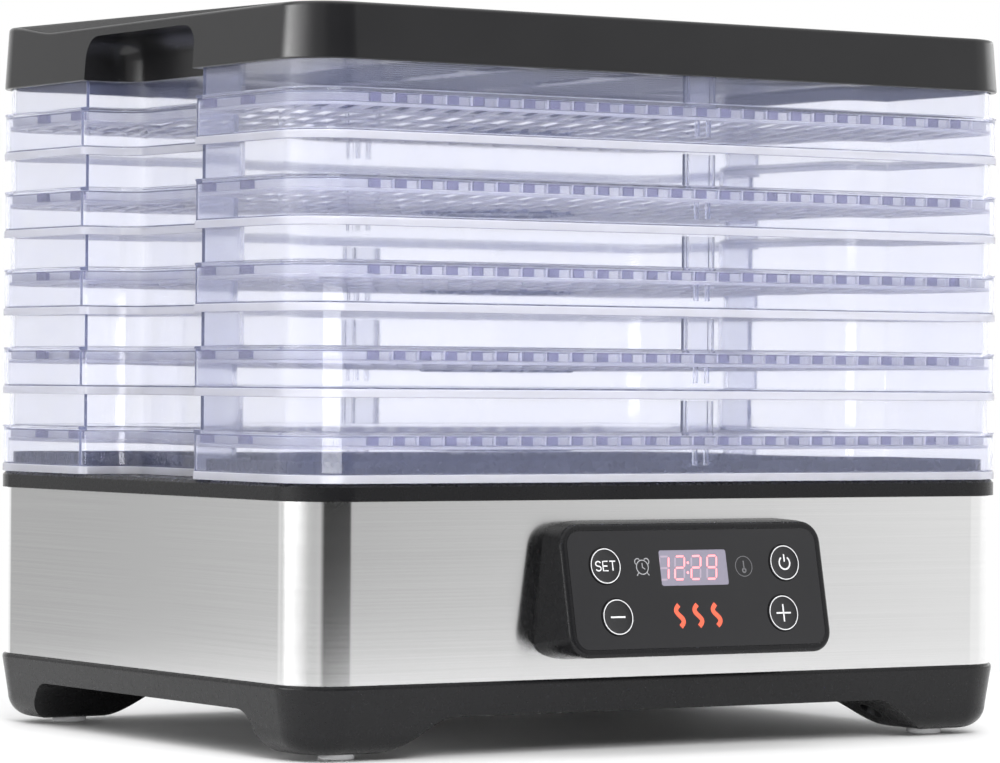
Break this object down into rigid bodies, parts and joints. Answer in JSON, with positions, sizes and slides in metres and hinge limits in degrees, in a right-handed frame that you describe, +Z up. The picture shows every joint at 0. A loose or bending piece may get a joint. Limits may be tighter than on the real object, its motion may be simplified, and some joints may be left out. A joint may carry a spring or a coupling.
{
  "type": "food dehydrator",
  "caption": "Countertop food dehydrator: fan-heater base with a sloping key panel, stacked clear mesh trays with hand notches, and a vented lift-off lid.",
  "frame": {"origin": "middle of the footprint box at floor level, under the rubber feet", "axes": "+X to the right along the wide side as seen from the control panel, -Y out of the control panel side, +Z up"},
  "size_m": [0.3338, 0.2852, 0.2845],
  "materials": {
    "black_plastic": "satin moulded",
    "grey_rubber": "matt",
    "brushed_steel": "fine brushing along the band",
    "clear_plastic": "clear polished",
    "gloss_black": "gloss",
    "smoked_window": "smoked clear",
    "display_dark": "satin",
    "board_green": "satin",
    "component_black": "satin",
    "screw_steel": "zinc plated",
    "motor_iron": "laminated",
    "coil_copper": "enamelled wire under tape",
    "cast_aluminium": "cast",
    "plated_sheet": "plated",
    "ceramic_white": "matt ceramic",
    "fan_plastic": "satin"
  },
  "bodies": {
    "base": {"lower_housing": "black_plastic", "top_deck": "black_plastic", "control_pod": "black_plastic", "outlet_grille": "black_plastic", "cord_gland": "black_plastic", "rubber_feet": "grey_rubber", "steel_band": "brushed_steel", "panel_overlay": "gloss_black", "display_window": "smoked_window", "display_module": "display_dark", "control_board": "board_green", "power_board": "board_green", "tact_switches": "component_black", "power_components": "component_black", "thermal_fuse": "component_black", "temperature_sensor": "component_black", "base_screws": "screw_steel", "pod_screws": "screw_steel", "motor_core": "motor_iron", "motor_coil": "coil_copper", "motor_bracket_lower": "cast_aluminium", "motor_bracket_upper": "cast_aluminium", "motor_mount": "plated_sheet", "air_duct": "plated_sheet", "heater_element": "plated_sheet", "heater_clips": "ceramic_white"},
    "fan": {"motor_shaft": "screw_steel", "motor_rotor": "cast_aluminium", "fan_impeller": "fan_plastic", "impeller_nut": "screw_steel"},
    "key_set": {"button_set": "gloss_black"},
    "key_minus": {"button_minus": "gloss_black"},
    "key_power": {"button_power": "gloss_black"},
    "key_plus": {"button_plus": "gloss_black"},
    "tray_1": {"tray_frame_1": "clear_plastic", "tray_mesh_1": "clear_plastic"},
    "tray_2": {"tray_frame_2": "clear_plastic", "tray_mesh_2": "clear_plastic"},
    "tray_3": {"tray_frame_3": "clear_plastic", "tray_mesh_3": "clear_plastic"},
    "tray_4": {"tray_frame_4": "clear_plastic", "tray_mesh_4": "clear_plastic"},
    "tray_5": {"tray_frame_5": "clear_plastic", "tray_mesh_5": "clear_plastic"},
    "lid_body": {"lid": "black_plastic"}
  },
  "joints": [
    {"name": "fan_spin", "type": "hinge", "parent": "base", "child": "fan", "pos_m": [0, 0.00645, 0.07], "axis": [0, 0, 1], "continuous": true},
    {"name": "set_press", "type": "slide", "parent": "base", "child": "key_set", "axis": [0, 0.9783, -0.207], "range_m": [0, 0.0008], "stiffness_N_per_m": 1500},
    {"name": "minus_press", "type": "slide", "parent": "base", "child": "key_minus", "axis": [0, 0.9783, -0.207], "range_m": [0, 0.0008], "stiffness_N_per_m": 1500},
    {"name": "power_press", "type": "slide", "parent": "base", "child": "key_power", "axis": [0, 0.9783, -0.207], "range_m": [0, 0.0008], "stiffness_N_per_m": 1500},
    {"name": "plus_press", "type": "slide", "parent": "base", "child": "key_plus", "axis": [0, 0.9783, -0.207], "range_m": [0, 0.0008], "stiffness_N_per_m": 1500},
    {"name": "tray_1_lift", "type": "slide", "parent": "base", "child": "tray_1", "axis": [0, 0, 1], "range_m": [0, 0.06]},
    {"name": "tray_2_lift", "type": "slide", "parent": "tray_1", "child": "tray_2", "axis": [0, 0, 1], "range_m": [0, 0.06]},
    {"name": "tray_3_lift", "type": "slide", "parent": "tray_2", "child": "tray_3", "axis": [0, 0, 1], "range_m": [0, 0.06]},
    {"name": "tray_4_lift", "type": "slide", "parent": "tray_3", "child": "tray_4", "axis": [0, 0, 1], "range_m": [0, 0.06]},
    {"name": "tray_5_lift", "type": "slide", "parent": "tray_4", "child": "tray_5", "axis": [0, 0, 1], "range_m": [0, 0.06]},
    {"name": "lid_lift", "type": "slide", "parent": "tray_5", "child": "lid_body", "axis": [0, 0, 1], "range_m": [0, 0.06]}
  ]
}
